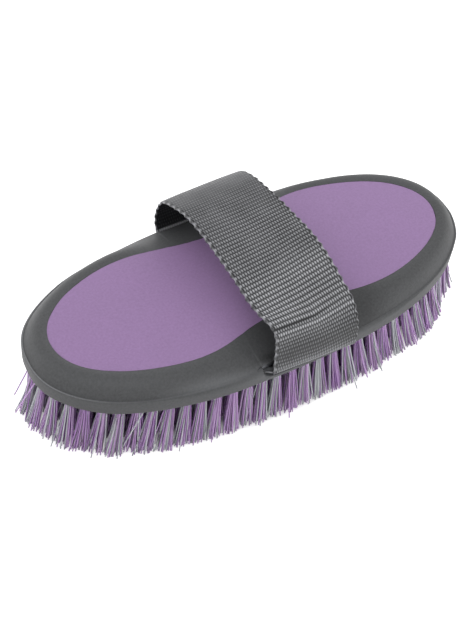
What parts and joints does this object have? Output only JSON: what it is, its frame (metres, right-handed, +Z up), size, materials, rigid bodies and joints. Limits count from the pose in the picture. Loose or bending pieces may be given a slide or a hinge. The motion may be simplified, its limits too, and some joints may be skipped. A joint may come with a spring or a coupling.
{
  "type": "horse body brush",
  "caption": "Oval horse grooming brush: moulded two-piece back with a soft waisted inlay, a webbing hand strap on steel pins, and rings of splayed synthetic bristle tufts.",
  "frame": {"origin": "middle of the plane that the bristle tips stand on", "axes": "+X along the brush, +Y to the rear long side, +Z up from the bristle tips towards the strap"},
  "size_m": [0.2178, 0.0985, 0.057],
  "materials": {
    "shell": "matte dark grey, fine moulded grain",
    "inlay": "matte lilac soft-touch",
    "board": "matte dark grey",
    "webbing": "grey plain-woven polypropylene webbing",
    "steel": "zinc-plated steel",
    "anchor_wire": "flat anchor wire",
    "filament_lilac": "lilac synthetic filament, soft sheen",
    "filament_grey": "grey synthetic filament, soft sheen"
  },
  "bodies": {
    "root": {"back_shell": "shell", "inlay_pad": "inlay", "bristle_board": "board", "hand_strap": "webbing", "strap_pin_front": "steel", "strap_pin_rear": "steel", "cover_screws": "steel", "tuft_anchors": "anchor_wire", "bristle_row_1": "filament_lilac", "bristle_row_2": "filament_grey", "bristle_row_3": "filament_lilac", "bristle_row_4": "filament_grey", "bristle_row_5": "filament_lilac"}
  },
  "joints": []
}
